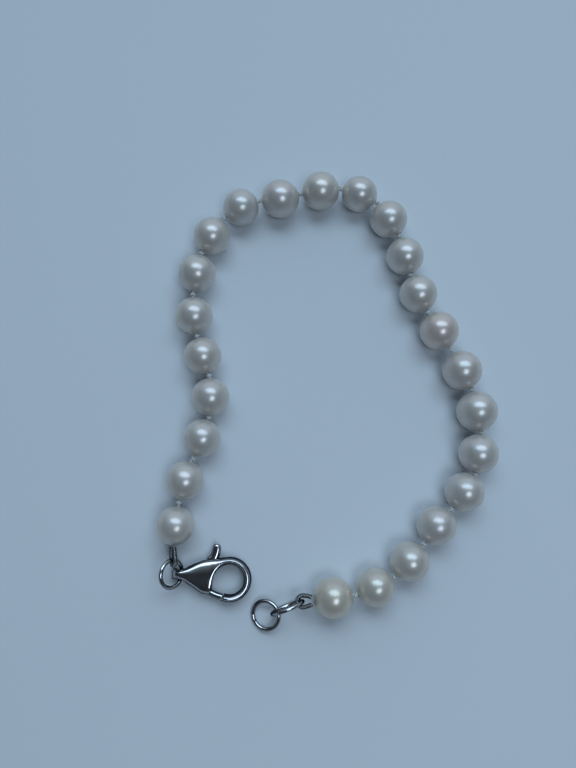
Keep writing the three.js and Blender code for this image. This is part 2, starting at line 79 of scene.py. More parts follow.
# The clasp's sizes in millimetres, seen from above with its hook to the right. The middle of the
# hook's opening is the origin. They are the CAD model's own.
CLASP_THICK = 3.0
EYE_BACK = 7.6  # from the hook's middle back to the eye's
EYE_RADIUS = 1.45
EYE_BORE_RADIUS = 0.8
EYE_FLARE = 0.25  # how far the eye's bore widens at its mouths
EYE_HALF_WIDTH = 0.85
HOOK_RADIUS = 3.45
BORE_RADIUS = 2.25
RIVET_PLACE = (-3.7, -1.35)
RIVET_RADIUS = 0.4
RIVET_GAP = 0.02  # the hairline round its flush heads
LEVER_HOLE_RADIUS = 0.5
LEVER_THICK = 1.1
LEVER_CLEARANCE = 0.15
LEVER_SWING = 22
HUB_RADIUS = 0.75
TAB_REACH = 6.6
GATE_REACH = 3.144  # from the rivet to the gate's end
HOOK_TURNS = (98.9, -108)  # where the hook begins and ends outside, degrees round the opening
BORE_TURNS = (115, -104)  # and inside
CLASP_LOOP_TURN = 12  # from the first pearl's drill hole to its loop's line, degrees
CLASP_HEADING = CLASP_LOOP_TURN + 79.3  # from the drill hole to the clasp's length
NECK = -8.1  # where the eye's straight sides end
FAN = -3.3  # where the sections begin to turn round the mouth
HOOK_THIN = 0.75  # thickness one hook's width past its middle, as a share of the clasp's

# How the clasp is rounded and cut
EDGE_LIMIT = 0.42  # the widest rounded edge, as a share of the width there
EDGE_STEPS = 8
HOOK_TIP = (0.78, 0.9, 0.97)  # height of the last sections, from the tip inwards, as shares
TAB_TIP = (0.3, 0.62, 0.8, 0.9, 0.96)
CRISP_ANGLE = math.radians(38)  # an edge that turns by more stays crisp
CUTTER_REACH = 2  # from the clasp's middle to a cutter's end, millimetres
MERGE = 0.0001 * MM  # corners that lie closer are one

# Edges of the clasp, from the eye to the hook
UPPER_EDGE = ((-7.37, 1.04), (-6.46, 1.45), (-5.24, 2.17), (-4.1, 2.66), (-1.75, 3.17), (-0.53, 3.4))
LOWER_EDGE = ((-6.99, -1.1), (-6.08, -1.55), (-5.17, -2.0), (-4.1, -2.55), (-2.89, -2.66))
MOUTH_EDGE = (
    (-2.89, -2.66), (-2.69, -2.45), (-2.655, -1.91), (-2.68, -0.83),
    (-2.565, 0.09), (-2.2, 0.97), (-1.665, 1.64), (-0.95, 2.04),
)

# Edge of the lever: degrees round the rivet and millimetres from it
TAB_EDGE = (
    (70, 1.98), (70, 4.75), (72, 5.81), (74, 6.34), (77, TAB_REACH), (82, TAB_REACH),
    (85, 6.27), (86, 5.15), (89, 4.55), (94, 4.09), (95, 1.98),
)
TAB_MIDDLE = (80, TAB_REACH)
GATE_LOWER = ((-72, 1.41), (-50, 2.14), (-38, GATE_REACH))
GATE_UPPER = ((-17, GATE_REACH), (-20, 2.2), (-22, 1.26))


def length(name, description, default):
    """A size that a user may change, shown in the scene's length unit."""
    return bpy.props.FloatProperty(
        name=name, description=description, default=default, unit="LENGTH", precision=6
    )


def share(name, description, default):
    """A part of a whole, from 0 to 1."""
    return bpy.props.FloatProperty(
        name=name, description=description, default=default, min=0, max=1, subtype="FACTOR"
    )


def colour(name, description, default):
    """A colour, shown as a swatch."""
    return bpy.props.FloatVectorProperty(
        name=name, description=description, default=default, size=3, min=0, max=1, subtype="COLOR"
    )


def count(name, description, default):
    """How many faces go round or along a piece."""
    return bpy.props.IntProperty(name=name, description=description, default=default, min=3)


def amount(name, description, default, unit="NONE"):
    """An amount that is never below zero."""
    return bpy.props.FloatProperty(
        name=name, description=description, default=default, min=0, unit=unit
    )


class PearlSettings(bpy.types.PropertyGroup):
    """Shape and lustre of the pearls."""

    mouth_rounding: length("Mouth rounding", "Rounding of the drill hole's rim", 0.1 * MM)
    unevenness: share("Unevenness", "How far a pearl departs from round", 0.035)
    sides: count("Sides", "Faces round the drill hole", 64)
    stations: count("Stations", "Faces from one drill mouth to the other", 40)
    nacre: colour("Nacre", "Body colour of most pearls", (0.61, 0.595, 0.565))
    cream: colour("Cream", "Body colour of the creamy pearls", (0.67, 0.62, 0.52))
    rose: colour("Rose", "Body colour of the rosy pearls", (0.68, 0.575, 0.54))
    film: amount("Film", "Thickness of the thin nacre film, nanometres", 310)


class SilkSettings(bpy.types.PropertyGroup):
    """The thread and its knots."""

    thread: length("Thread", "Diameter of the silk between pearls", 0.4 * MM)
    strand: length("Strand", "Diameter of the silk drawn up in a knot", 0.36 * MM)
    knot: length("Knot", "Diameter of a knot", 1.0 * MM)
    silk: colour("Silk", "Colour of the silk", (0.62, 0.64, 0.64))


class WireSettings(bpy.types.PropertyGroup):
    """The coiled French wire and the rings."""

    fine_wire: length("Fine wire", "Diameter of the wire that is coiled", 0.13 * MM)
    coil: length("Coil", "Outer diameter of the coil", 0.7 * MM)
    seam_depth: share("Seam depth", "Depth of a ring's soldered seam, as a share of its wire", 0.06)
    ring_steps: count("Ring steps", "Faces round a ring", 120)


class ClaspSettings(bpy.types.PropertyGroup):
    """Finish of the lobster clasp."""

    edge: length("Edge", "Width of the clasp's rounded outer edge", 0.6 * MM)
    inner_edge: length("Inner edge", "Width of its rounded edge by the mouth", 0.9 * MM)
    dome: share("Dome", "How far the flat faces fall towards their edges", 0.2)
    lever_edge: length("Lever edge", "Width of the lever's rounded edges", 0.45 * MM)
    metal: colour("White gold", "Colour of the metal", (0.62, 0.635, 0.67))
    polish: share("Polish", "Roughness of the polished metal", 0.09)


class StageSettings(bpy.types.PropertyGroup):
    """Floor and lights."""

    floor: colour("Floor", "Colour of the floor", (0.67, 0.72, 0.78))
    window: amount("Window", "Power of the large soft light, watts", 1.6, "POWER")
    lamp: amount("Lamp", "Power of the small light, watts", 0.32, "POWER")
    sky: amount("Room", "Brightness of the room's lit side", 0.66)


class Bench:
    """A node tree in the making: adds nodes, feeds their inputs and hands back their outputs."""

    def __init__(self, tree):
        self.tree = tree

    @classmethod
    def geometry(cls, name):
        """A bench for a new Geometry Nodes tree with a geometry input and output."""
        bench = cls(bpy.data.node_groups.new(name, "GeometryNodeTree"))
        for way in ("INPUT", "OUTPUT"):
            bench.tree.interface.new_socket("Geometry", in_out=way, socket_type="NodeSocketGeometry")
        bench.entry = bench.tree.nodes.new("NodeGroupInput")
        bench.base = bench.entry.outputs["Geometry"]
        return bench

    def named(self, name, kind="Float"):
        """A named input of the tree."""
        self.tree.interface.new_socket(name, in_out="INPUT", socket_type="NodeSocket" + kind)
        return self.entry.outputs[name]

    def add(self, kind, feed, **settings):
        """A node with its settings and inputs; an input is fed by another node's output or a value."""
        node = self.tree.nodes.new(kind)
        for key, value in settings.items():
            setattr(node, key, value)
        for socket, value in feed.items():
            if isinstance(value, bpy.types.NodeSocket):
                self.tree.links.new(value, node.inputs[socket])
            else:
                node.inputs[socket].default_value = value
        return node

    def make(self, kind, feed, output=0, **settings):
        return self.add(kind, feed, **settings).outputs[output]

    def sum(self, operation, *values):
        """One step of arithmetic."""
        return self.make("ShaderNodeMath", dict(enumerate(values)), operation=operation)

    def vector(self, x, y, z):
        return self.make("ShaderNodeCombineXYZ", {"X": x, "Y": y, "Z": z})

    def scaled(self, vector, factor):
        return self.make("ShaderNodeVectorMath", {0: vector, "Scale": factor}, operation="SCALE")

    def remap(self, value, low, high, start=0.0, end=1.0, **settings):
        """Spreads what lies from start to end over the range from low to high."""
        feed = {0: value, 1: start, 2: end, 3: low, 4: high}
        return self.make("ShaderNodeMapRange", feed, **settings)

    def attribute(self, name, output="Fac"):
        """What a tree has kept on the points of a mesh, for its material."""
        return self.make("ShaderNodeAttribute", {}, output, attribute_name=name)

    def put(self, geometry, centre, turn):
        """Turns a geometry and moves it to its centre."""
        spin = self.make("FunctionNodeEulerToRotation", {"Euler": turn})
        feed = {"Geometry": geometry, "Translation": centre, "Rotation": spin}
        return self.make("GeometryNodeTransform", feed)

    def store(self, geometry, name, value, data_type="FLOAT"):
        """Keeps a value on the points of a geometry, for its material."""
        feed = {"Geometry": geometry, "Name": name, "Value": value}
        return self.make("GeometryNodeStoreNamedAttribute", feed, data_type=data_type, domain="POINT")

    def round_wire(self, curve, radius, sides, scale=1.0):
        """A round wire along a curve; its points keep where they are along it and round it."""
        metre = self.make("GeometryNodeSplineParameter", {}, "Length")
        curve = self.store(curve, "along", metre)
        ring = self.make("GeometryNodeCurvePrimitiveCircle", {"Resolution": sides, "Radius": radius})
        place = self.make("GeometryNodeInputPosition", {})
        ring = self.store(ring, "section", place, "FLOAT_VECTOR")
        feed = {"Curve": curve, "Profile Curve": ring, "Scale": scale, "Fill Caps": True}
        return self.make("GeometryNodeCurveToMesh", feed)

    def store_up(self, geometry):
        """Keeps how far each point's face looks up, for the painted shade on the metal's lower sides.
        """
        normal = self.make("GeometryNodeInputNormal", {})
        up = self.add("ShaderNodeSeparateXYZ", {"Vector": normal}).outputs["Z"]
        return self.store(geometry, "up", up)

    def close(self, geometry):
        """Ends the tree: smooth faces, no instances, and the material that is given as an input."""
        material = self.named("Material", "Material")
        smooth = self.make("GeometryNodeSetShadeSmooth", {"Geometry": geometry})
        real = self.make("GeometryNodeRealizeInstances", {"Geometry": smooth})
        painted = self.make("GeometryNodeSetMaterial", {"Geometry": real, "Material": material})
        self.add("NodeGroupOutput", {0: painted})
        return self.tree


def grow(name, tree, base=None, **inputs):
    """The plain mesh object that a tree makes from a base mesh and its named inputs."""
    carrier = bpy.data.objects.new(name + "_base", base or bpy.data.meshes.new(name + "_base"))
    bpy.context.scene.collection.objects.link(carrier)
    modifier = carrier.modifiers.new("Shape", "NODES")
    modifier.node_group = tree
    for item in tree.interface.items_tree:
        key = item.name.lower().replace(" ", "_")
        if item.in_out == "INPUT" and key in inputs:
            modifier[item.identifier] = inputs.pop(key)
    if inputs:
        raise KeyError(f"{tree.name} has no inputs named {sorted(inputs)}")
    depsgraph = bpy.context.evaluated_depsgraph_get()
    mesh = bpy.data.meshes.new_from_object(
        carrier.evaluated_get(depsgraph), preserve_all_data_layers=True, depsgraph=depsgraph
    )
    bpy.data.objects.remove(carrier)
    if not mesh.polygons:
        raise RuntimeError(f"{name} came out empty")
    # Joined parts bring an empty material slot along
    for slot in reversed(range(len(mesh.materials))):
        if mesh.materials[slot] is None:
            mesh.materials.pop(index=slot)
    return shown(name, mesh)


def shown(name, mesh):
    """A new object of the scene with that mesh."""
    mesh.name = name
    piece = bpy.data.objects.new(name, mesh)
    bpy.context.scene.collection.objects.link(piece)
    return piece


def settle(piece, body, slot, *nodes):
    """Lets a finished piece ride on its body in the place of its CAD nodes."""
    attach(piece, body)
    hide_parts(*nodes)
    return piece


def line_mesh(name, points):
    """Points joined by edges, as the base of a tree that follows them."""
    mesh = bpy.data.meshes.new(name)
    mesh.from_pydata([tuple(p) for p in points], [(i, i + 1) for i in range(len(points) - 1)], [])
    return mesh


# Places, read from the frame


def middle_of(node):
    """The middle of a CAD node's box."""
    low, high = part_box(node)
    return (low + high) / 2


def drilled(number):
    """A pearl's middle, the direction of its drill hole along the string, and its sizes."""
    node = PEARL_NODES[number]
    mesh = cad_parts[node].data
    centre = middle_of(node)
    walls = [face.normal for face in mesh.polygons if face.normal.dot(face.center - centre) < 0]
    axis = Vector(np.linalg.svd(np.array(walls))[2][-1])
    before = PEARL_NODES[max(number - 1, 0)]
    after = PEARL_NODES[min(number + 1, len(PEARL_NODES) - 1)]
    if axis.dot(middle_of(after) - middle_of(before)) < 0:
        axis.negate()
    low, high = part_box(node)
    half = max(axis.dot(corner.co - centre) for corner in mesh.vertices)
    return {
        "centre": centre,
        "axis": axis,
        "across": high.z - low.z,
        "half": half,
        "mouth_in": centre - half * axis,
        "mouth_out": centre + half * axis,
    }


PEARLS = [drilled(number) for number in range(len(PEARL_NODES))]


def ring_of(node):
    """A ring's middle, the direction that it is wound round, its outer radius and its wire's."""
    points = np.array([corner.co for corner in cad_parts[node].data.vertices], float)
    points = np.unique(points.round(6), axis=0)
    centre = points.mean(0)
    normal = np.linalg.svd(points - centre)[2][-1]
    distances = np.linalg.norm(np.cross(points - centre, normal), axis=1)
    return {
        "centre": Vector(centre),
        "normal": Vector(normal),
        "outer": float(distances.max()),
        "wire": float(distances.max() - distances.min()) / 2,
    }


def turned(direction, degrees):
    """A direction turned about the upright."""
    return Matrix.Rotation(math.radians(degrees), 3, "Z") @ direction


def clasp_place():
    """The matrix that takes the clasp's own coordinates to their place in the frame."""
    heading = turned(-PEARLS[0]["axis"], CLASP_HEADING)
    spin = Matrix.Rotation(math.atan2(heading.y, heading.x), 4, "Z")
    rivet = middle_of("clasp_rivet")
    return Matrix.Translation(rivet) @ spin @ Matrix.Translation(
        (-RIVET_PLACE[0] * MM, -RIVET_PLACE[1] * MM, 0)
    )


# Materials


def painted(name, roughness, metallic=0.0):
    """A new material, with a bench for its nodes and its Principled shader."""
    material = bpy.data.materials.new(name)
    material.use_nodes = True
    bench = Bench(material.node_tree)
    shader = material.node_tree.nodes["Principled BSDF"]
    shader.inputs["Roughness"].default_value = roughness
    shader.inputs["Metallic"].default_value = metallic
    return material, bench, shader


def noise(bench, place, scale, detail, distortion=0.0):
    """Soft noise from 0 to 1."""
    feed = {"Vector": place, "Scale": scale, "Detail": detail, "Distortion": distortion}
    return bench.make("ShaderNodeTexNoise", feed, "Fac")


def drive(shader, socket, value):
    """Feeds one of the shader's inputs from another node."""
    shader.id_data.links.new(value, shader.inputs[socket])


def bump(bench, shader, height, strength, distance):
    """Fine relief, too small for the mesh."""
    feed = {"Strength": strength, "Distance": distance, "Height": height}
    drive(shader, "Normal", bench.make("ShaderNodeBump", feed))


def shaded(bench, value, low, tone):
    """A colour that darkens to a share of itself where the value falls to 0."""
    dark = (*(low * part for part in tone), 1)
    return bench.make("ShaderNodeMix", {0: value, 6: dark, 7: (*tone, 1)}, 2, data_type="RGBA")


def object_place(bench):
    """Where a point lies in the frame, because every piece's origin is the frame's."""
    return bench.make("ShaderNodeTexCoord", {}, "Object")


def nacre_material(settings):
    """Lustrous nacre: cloudy body colour under a clear skin, with a thin film's faint overtones."""
    material, bench, shader = painted("nacre", 0.3, metallic=0.38)
    place = object_place(bench)
    clouds = noise(bench, place, scale=420, detail=4, distortion=0.6)
    shade = bench.remap(clouds, 0.93, 1.05)
    drive(shader, "Base Color", bench.scaled(bench.attribute("tint", "Color"), shade))
    skin = noise(bench, place, scale=900, detail=3)
    drive(shader, "Roughness", bench.remap(skin, 0.29, 0.33))
    drift = noise(bench, place, scale=90, detail=0)
    thin, thick = (settings.film * part for part in (0.8, 1.2))
    drive(shader, "Thin Film Thickness", bench.remap(drift, thin, thick))
    peel = noise(bench, place, scale=600, detail=1)
    bump(bench, shader, peel, strength=0.05, distance=0.02 * MM)
    for socket, value in {
        "Subsurface Weight": 0.25,
        "Subsurface Radius": (1.0, 0.85, 0.7),
        "Subsurface Scale": 0.6 * MM,
        "Specular IOR Level": 0.6,
        "Coat Weight": 0.6,
        "Coat Roughness": 0.14,
        "Coat IOR": 1.55,
        "Thin Film IOR": 1.38,
        "Sheen Weight": 0.3,
        "Sheen Roughness": 0.35,
    }.items():
        shader.inputs[socket].default_value = value
    return material


def silk_material(settings):
    """Silk drawn tight, with the fine slanting grooves of its twist and a painted shade in them."""
    material, bench, shader = painted("spun_silk", 0.75)
    parts = bench.add("ShaderNodeSeparateXYZ", {"Vector": bench.attribute("section", "Vector")})
    around = bench.sum("ARCTAN2", parts.outputs["Y"], parts.outputs["X"])
    strands = 3
    lay = 0.55 * MM  # along the silk, from a strand to the next
    turns = bench.sum("MULTIPLY", around, strands)
    advance = bench.sum("MULTIPLY", bench.attribute("along"), 2 * math.pi / lay)
    ridge = bench.sum("SINE", bench.sum("ADD", turns, advance))
    ridge = bench.sum("MULTIPLY_ADD", ridge, 0.5, 0.5)
    fluff = noise(bench, object_place(bench), scale=6000, detail=2)
    height = bench.sum("MULTIPLY_ADD", fluff, 0.3, ridge)
    bump(bench, shader, height, strength=0.6, distance=0.03 * MM)
    # The colour falls to 0.82 in the grooves between the strands: a painted shade, while the bump
    # gives their relief
    drive(shader, "Base Color", shaded(bench, ridge, 0.82, settings.silk))
    shader.inputs["Sheen Weight"].default_value = 0.3
    return material


def metal_material(name, settings, roughness, grain, shade=1.0):
    """White gold: a reflection between two roughnesses, broken by faint smears and hair scratches.
    Its colour is painted darker on the sides and undersides that look down, a painted shade in place
    of their dark reflections."""
    material, bench, shader = painted(name, settings.polish, metallic=1.0)
    place = object_place(bench)
    smears = noise(bench, place, scale=600, detail=4, distortion=1.2)
    drive(shader, "Roughness", bench.remap(smears, *roughness))
    stretched = bench.make("ShaderNodeMapping", {"Vector": place, "Scale": (1, 14, 3)})
    scratches = noise(bench, stretched, scale=1400, detail=3)
    bump(bench, shader, scratches, strength=grain, distance=0.01 * MM)
    # shade scales the whole colour down, a painted shade for pieces whose own gaps would lie dark
    tone = shaded(bench, smears, 0.93, [shade * part for part in settings.metal])
    # Painted shade: the colour falls to a fifth on faces that look sideways or down, and stays full on
    # those that look up
    painted_side_shade = bench.remap(bench.attribute("up"), 0.2, 1.0, start=0.3, end=0.9)
    drive(shader, "Base Color", bench.scaled(tone, painted_side_shade))
    shader.inputs["Specular Tint"].default_value = (0.2, 0.21, 0.23, 1)
    return material


def polished_metal(settings):
    """The one material of the clasp and the rings."""
    name = "polished_white_gold"
    roughness = (settings.polish * 0.7, settings.polish * 1.8)
    return bpy.data.materials.get(name) or metal_material(name, settings, roughness, 0.05)


def floor_material(settings):
    """A plain pale matt floor with a faint mottle."""
    material, bench, shader = painted("pale_floor", 0.9)
    mottle = noise(bench, object_place(bench), scale=6, detail=3)
    drive(shader, "Base Color", shaded(bench, mottle, 0.97, settings.floor))
    shader.inputs["Specular IOR Level"].default_value = 0.1
    return material


# Trees


def pearl_tree():
    """A drilled pearl: the arc of its skin, closed by the bore, carried round the drill hole."""
    bench = Bench.geometry("Drilled pearl")
    across, along, bore = (bench.named(name) for name in ("Across", "Along", "Bore"))
    rounding, unevenness = bench.named("Mouth Rounding"), bench.named("Unevenness")
    sides, stations = bench.named("Sides", "Int"), bench.named("Stations", "Int")
    seed = bench.named("Seed")
    centre, turn = bench.named("Centre", "Vector"), bench.named("Turn", "Vector")
    tint = bench.named("Tint", "Color")
    mouth = bench.sum("ARCSINE", bench.sum("DIVIDE", bore, across))
    skin = bench.make(
        "GeometryNodeCurveArc",
        {
            "Resolution": stations,
            "Radius": 1.0,
            "Start Angle": bench.sum("SUBTRACT", mouth, math.pi / 2),
            "Sweep Angle": bench.sum("MULTIPLY_ADD", mouth, -2.0, math.pi),
        },
        mode="RADIUS",
    )
    # The outline is carried round a circle within the bore, so it is moved in by its radius
    core = bench.sum("MULTIPLY", bore, 0.25)
    half_size = bench.vector(
        bench.sum("MULTIPLY", across, 0.5), bench.sum("MULTIPLY", along, 0.5), 1.0
    )
    inwards = bench.vector(bench.sum("MULTIPLY", core, -1.0), 0.0, 0.0)
    feed = {"Geometry": skin, "Translation": inwards, "Scale": half_size}
    skin = bench.make("GeometryNodeTransform", feed)
    rims = bench.make("GeometryNodeCurveEndpointSelection", {})
    outline = bench.make("GeometryNodeSetSplineCyclic", {"Geometry": skin, "Cyclic": True})
    rim_radius = bench.sum("MULTIPLY", rims, rounding)
    outline = bench.make(
        "GeometryNodeFilletCurve",
        {"Curve": outline, "Count": 4, "Radius": rim_radius, "Limit Radius": True},
        mode="POLY",
    )
    round_hole = bench.make("GeometryNodeCurvePrimitiveCircle", {"Resolution": sides, "Radius": core})
    pearl = bench.make("GeometryNodeCurveToMesh", {"Curve": round_hole, "Profile Curve": outline})
    # About one soft swelling across a pearl takes it a little out of round
    place = bench.make("GeometryNodeInputPosition", {})
    grain = bench.make(
        "ShaderNodeTexNoise",
        {"Vector": place, "W": seed, "Scale": bench.sum("DIVIDE", 1.1, across), "Detail": 1.0},
        "Fac",
        noise_dimensions="4D",
    )
    swell = bench.sum("MULTIPLY", bench.sum("SUBTRACT", grain, 0.55), unevenness)
    feed = {"Geometry": pearl, "Offset": bench.scaled(place, swell)}
    pearl = bench.put(bench.make("GeometryNodeSetPosition", feed), centre, turn)
    return bench.close(bench.store(pearl, "tint", tint, "FLOAT_COLOR"))


def silk_tree():
    """The thread along the base line, and a drawn-up knot at each of its knot points."""
    bench = Bench.geometry("Knotted silk")
    thread, strand, knot = (bench.named(name) for name in ("Thread", "Strand", "Knot"))
    seed = bench.named("Seed", "Int")
    line = bench.make("GeometryNodeMeshToCurve", {"Mesh": bench.base})
    thread = bench.round_wire(line, bench.sum("MULTIPLY", thread, 0.5), sides=10)
    # A trefoil knot, which reaches three units from its middle
    turn = bench.sum("MULTIPLY", bench.make("GeometryNodeSplineParameter", {}, "Factor"), 2 * math.pi)
    twice, thrice = bench.sum("MULTIPLY", turn, 2.0), bench.sum("MULTIPLY", turn, 3.0)
    out = bench.sum("ADD", bench.sum("COSINE", thrice), 2.0)
    wraps = bench.vector(
        bench.sum("MULTIPLY", out, bench.sum("COSINE", twice)),
        bench.sum("MULTIPLY", out, bench.sum("SINE", twice)),
        bench.sum("SINE", thrice),
    )
    unit = bench.sum("DIVIDE", bench.sum("SUBTRACT", knot, strand), 6.0)
    path = bench.make("GeometryNodeCurvePrimitiveCircle", {"Resolution": 60})
    feed = {"Geometry": path, "Position": bench.scaled(wraps, unit)}
    path = bench.make("GeometryNodeSetPosition", feed)
    wound = bench.round_wire(path, bench.sum("MULTIPLY", strand, 0.5), sides=10)
    is_knot = bench.make("GeometryNodeInputNamedAttribute", {"Name": "knot"}, data_type="BOOLEAN")
    run = bench.make("GeometryNodeInputNamedAttribute", {"Name": "run"}, data_type="FLOAT_VECTOR")
    facing = bench.make("FunctionNodeAlignRotationToVector", {"Vector": run}, axis="Z")
    angle = bench.make("FunctionNodeRandomValue", {2: 0.0, 3: 2 * math.pi, "Seed": seed}, 1)
    twist = bench.make("FunctionNodeAxisAngleToRotation", {"Axis": (0, 0, 1), "Angle": angle})
    feed = {"Rotation": facing, "Rotate By": twist}
    facing = bench.make("FunctionNodeRotateRotation", feed, rotation_space="LOCAL")
    knots = bench.make(
        "GeometryNodeInstanceOnPoints",
        {"Points": bench.base, "Selection": is_knot, "Instance": wound, "Rotation": facing},
    )
    both = bench.add("GeometryNodeJoinGeometry", {})
    for part in (knots, thread):
        bench.tree.links.new(part, both.inputs[0])
    return bench.close(both.outputs[0])


def coil_tree():
    """Fine wire wound closely round the base line."""
    bench = Bench.geometry("French wire")
    fine, coil = bench.named("Fine Wire"), bench.named("Coil")
    turns = bench.named("Turns", "Int")
    line = bench.make("GeometryNodeMeshToCurve", {"Mesh": bench.base})
    line = bench.make("GeometryNodeCurveSplineType", {"Curve": line}, spline_type="CATMULL_ROM")
    steps_a_turn = 14
    steps = bench.sum("MULTIPLY", turns, steps_a_turn)
    line = bench.make("GeometryNodeResampleCurve", {"Curve": line, "Count": steps})
    factor = bench.make("GeometryNodeSplineParameter", {}, "Factor")
    angle = bench.sum("MULTIPLY", bench.sum("MULTIPLY", factor, turns), 2 * math.pi)
    radius = bench.sum("MULTIPLY", bench.sum("SUBTRACT", coil, fine), 0.5)
    normal = bench.make("GeometryNodeInputNormal", {})
    tangent = bench.make("GeometryNodeInputTangent", {})
    across = bench.make("ShaderNodeVectorMath", {0: tangent, 1: normal}, operation="CROSS_PRODUCT")
    parts = []
    for direction, wave in ((normal, "COSINE"), (across, "SINE")):
        reach = bench.sum("MULTIPLY", bench.sum(wave, angle), radius)
        parts.append(bench.scaled(direction, reach))
    offset = bench.make("ShaderNodeVectorMath", dict(enumerate(parts)), operation="ADD")
    wire = bench.make("GeometryNodeSetPosition", {"Geometry": line, "Offset": offset})
    wire = bench.round_wire(wire, bench.sum("MULTIPLY", fine, 0.5), sides=6)
    return bench.close(bench.store_up(wire))


def ring_tree():
    """A ring of round wire whose ends are soldered at a faint seam."""
    bench = Bench.geometry("Soldered ring")
    outer, wire, depth = (bench.named(name) for name in ("Outer", "Wire", "Seam Depth"))
    steps = bench.named("Steps", "Int")
    centre, turn = bench.named("Centre", "Vector"), bench.named("Turn", "Vector")
    middle = bench.sum("SUBTRACT", outer, wire)
    circle = bench.make("GeometryNodeCurvePrimitiveCircle", {"Resolution": steps, "Radius": middle})
    factor = bench.make("GeometryNodeSplineParameter", {}, "Factor")
    away = bench.sum("ABSOLUTE", bench.sum("SUBTRACT", factor, 0.5))
    seam_reach = 0.012  # to each side, as a share of the way round
    dip = bench.remap(away, depth, 0.0, end=seam_reach)
    ring = bench.round_wire(circle, wire, sides=24, scale=bench.sum("SUBTRACT", 1.0, dip))
    return bench.close(bench.store_up(bench.put(ring, centre, turn)))


# Shapes of the clasp, in its own coordinates and millimetres


def smooth_line(points, steps):
    """Evenly spaced points on a smooth line through a few given ones."""
    given = np.array(points, float)
    padded = np.vstack([2 * given[0] - given[1], given, 2 * given[-1] - given[-2]])
    dense = []
    for a, b, c, d in zip(padded, padded[1:], padded[2:], padded[3:]):
        for t in np.linspace(0, 1, 24, endpoint=False):
            bend = 2 * a - 5 * b + 4 * c - d
            twist = 3 * (b - c) + d - a
            dense.append(b + 0.5 * ((c - a) * t + bend * t**2 + twist * t**3))
    dense = np.array([*dense, given[-1]])
    travelled = np.append(0, np.cumsum(np.linalg.norm(np.diff(dense, axis=0), axis=1)))
    at = np.linspace(0, travelled[-1], steps + 1)
    return np.column_stack([np.interp(at, travelled, dense[:, axis]) for axis in (0, 1)])


def arc(middle, radius, start, end, steps):
    """Points round a middle, both ends included, angles in degrees."""
    turns = np.radians(np.linspace(start, end, steps + 1))
    return np.column_stack([middle[0] + radius * np.cos(turns), middle[1] + radius * np.sin(turns)])


def round_rivet(edge):
    """Points given as degrees and millimetres round the rivet."""
    return np.array([
        (RIVET_PLACE[0] + reach * math.cos(math.radians(turn)),
         RIVET_PLACE[1] + reach * math.sin(math.radians(turn)))
        for turn, reach in edge
    ])


def clasp_sections():
    """Pairs of points across the clasp, one on its outer edge and one on its inner: over the eye,
    along the body, up the edge of the mouth and round the hook to its tip."""
    fan_steps, hook_steps = 30, 76
    upper, lower = (
        np.vstack([[(-EYE_BACK - EYE_RADIUS, side), (NECK, side)], smooth_line(edge, 60)])
        for side, edge in ((EYE_HALF_WIDTH, UPPER_EDGE), (-EYE_HALF_WIDTH, LOWER_EDGE))
    )
    eye = -EYE_BACK - EYE_RADIUS * np.sin(np.linspace(math.pi / 2, 0, 9))
    stations = np.append(eye, np.linspace(-EYE_BACK, FAN, 27)[1:])
    outer = np.column_stack([stations, np.interp(stations, upper[:, 0], upper[:, 1])])
    # The lower points run ahead of the upper ones, up to the mouth
    way = np.clip((stations + EYE_BACK) / (FAN + EYE_BACK), 0, 1)
    inner_x = stations + (LOWER_EDGE[-1][0] - FAN) * way
    inner = np.column_stack([inner_x, np.interp(inner_x, lower[:, 0], lower[:, 1])])
    over = upper[upper[:, 0] > FAN]
    fan_outer = smooth_line([outer[-1], *over[::6], UPPER_EDGE[-1]], fan_steps)[1:]
    fan_inner = smooth_line(MOUTH_EDGE, fan_steps)[1:]
    hook_outer = arc((0, 0), HOOK_RADIUS, *HOOK_TURNS, hook_steps)[1:]
    hook_inner = arc((0, 0), BORE_RADIUS, *BORE_TURNS, hook_steps)[1:]
    return np.vstack([outer, fan_outer, hook_outer]), np.vstack([inner, fan_inner, hook_inner])


def side_height(x):
    """Half the clasp's thickness: a round eye, a straight body, and a hook that thins a little."""
    half = CLASP_THICK / 2
    round_eye = np.sqrt(np.clip(EYE_RADIUS**2 - (x + EYE_BACK) ** 2, 0, None))
    places = [-EYE_BACK, UPPER_EDGE[1][0], 0, 2 * HOOK_RADIUS]
    body = np.interp(x, places, [EYE_RADIUS, half, half, HOOK_THIN * half])
    return np.where(x < -EYE_BACK, round_eye, body)


def lever_sections():
    """Pairs of points across the lever, from the tab's tip over its hub to the gate's end."""
    # The tab's back leads round the hub to the gate's lower side, and its front to the upper side
    back_hub = (TAB_EDGE[-1][0], GATE_LOWER[0][0] + 360)
    front_hub = (TAB_EDGE[0][0], GATE_UPPER[-1][0])
    return tuple(
        np.vstack([
            smooth_line(round_rivet([TAB_MIDDLE, *tab_side]), 40)[1:],
            arc(RIVET_PLACE, HUB_RADIUS, *hub, 16),
            smooth_line(round_rivet(gate_side), 16),
        ])
        for tab_side, hub, gate_side in (
            (TAB_EDGE[5:], back_hub, GATE_LOWER),
            (TAB_EDGE[4::-1], front_hub, GATE_UPPER[::-1]),
        )
    )


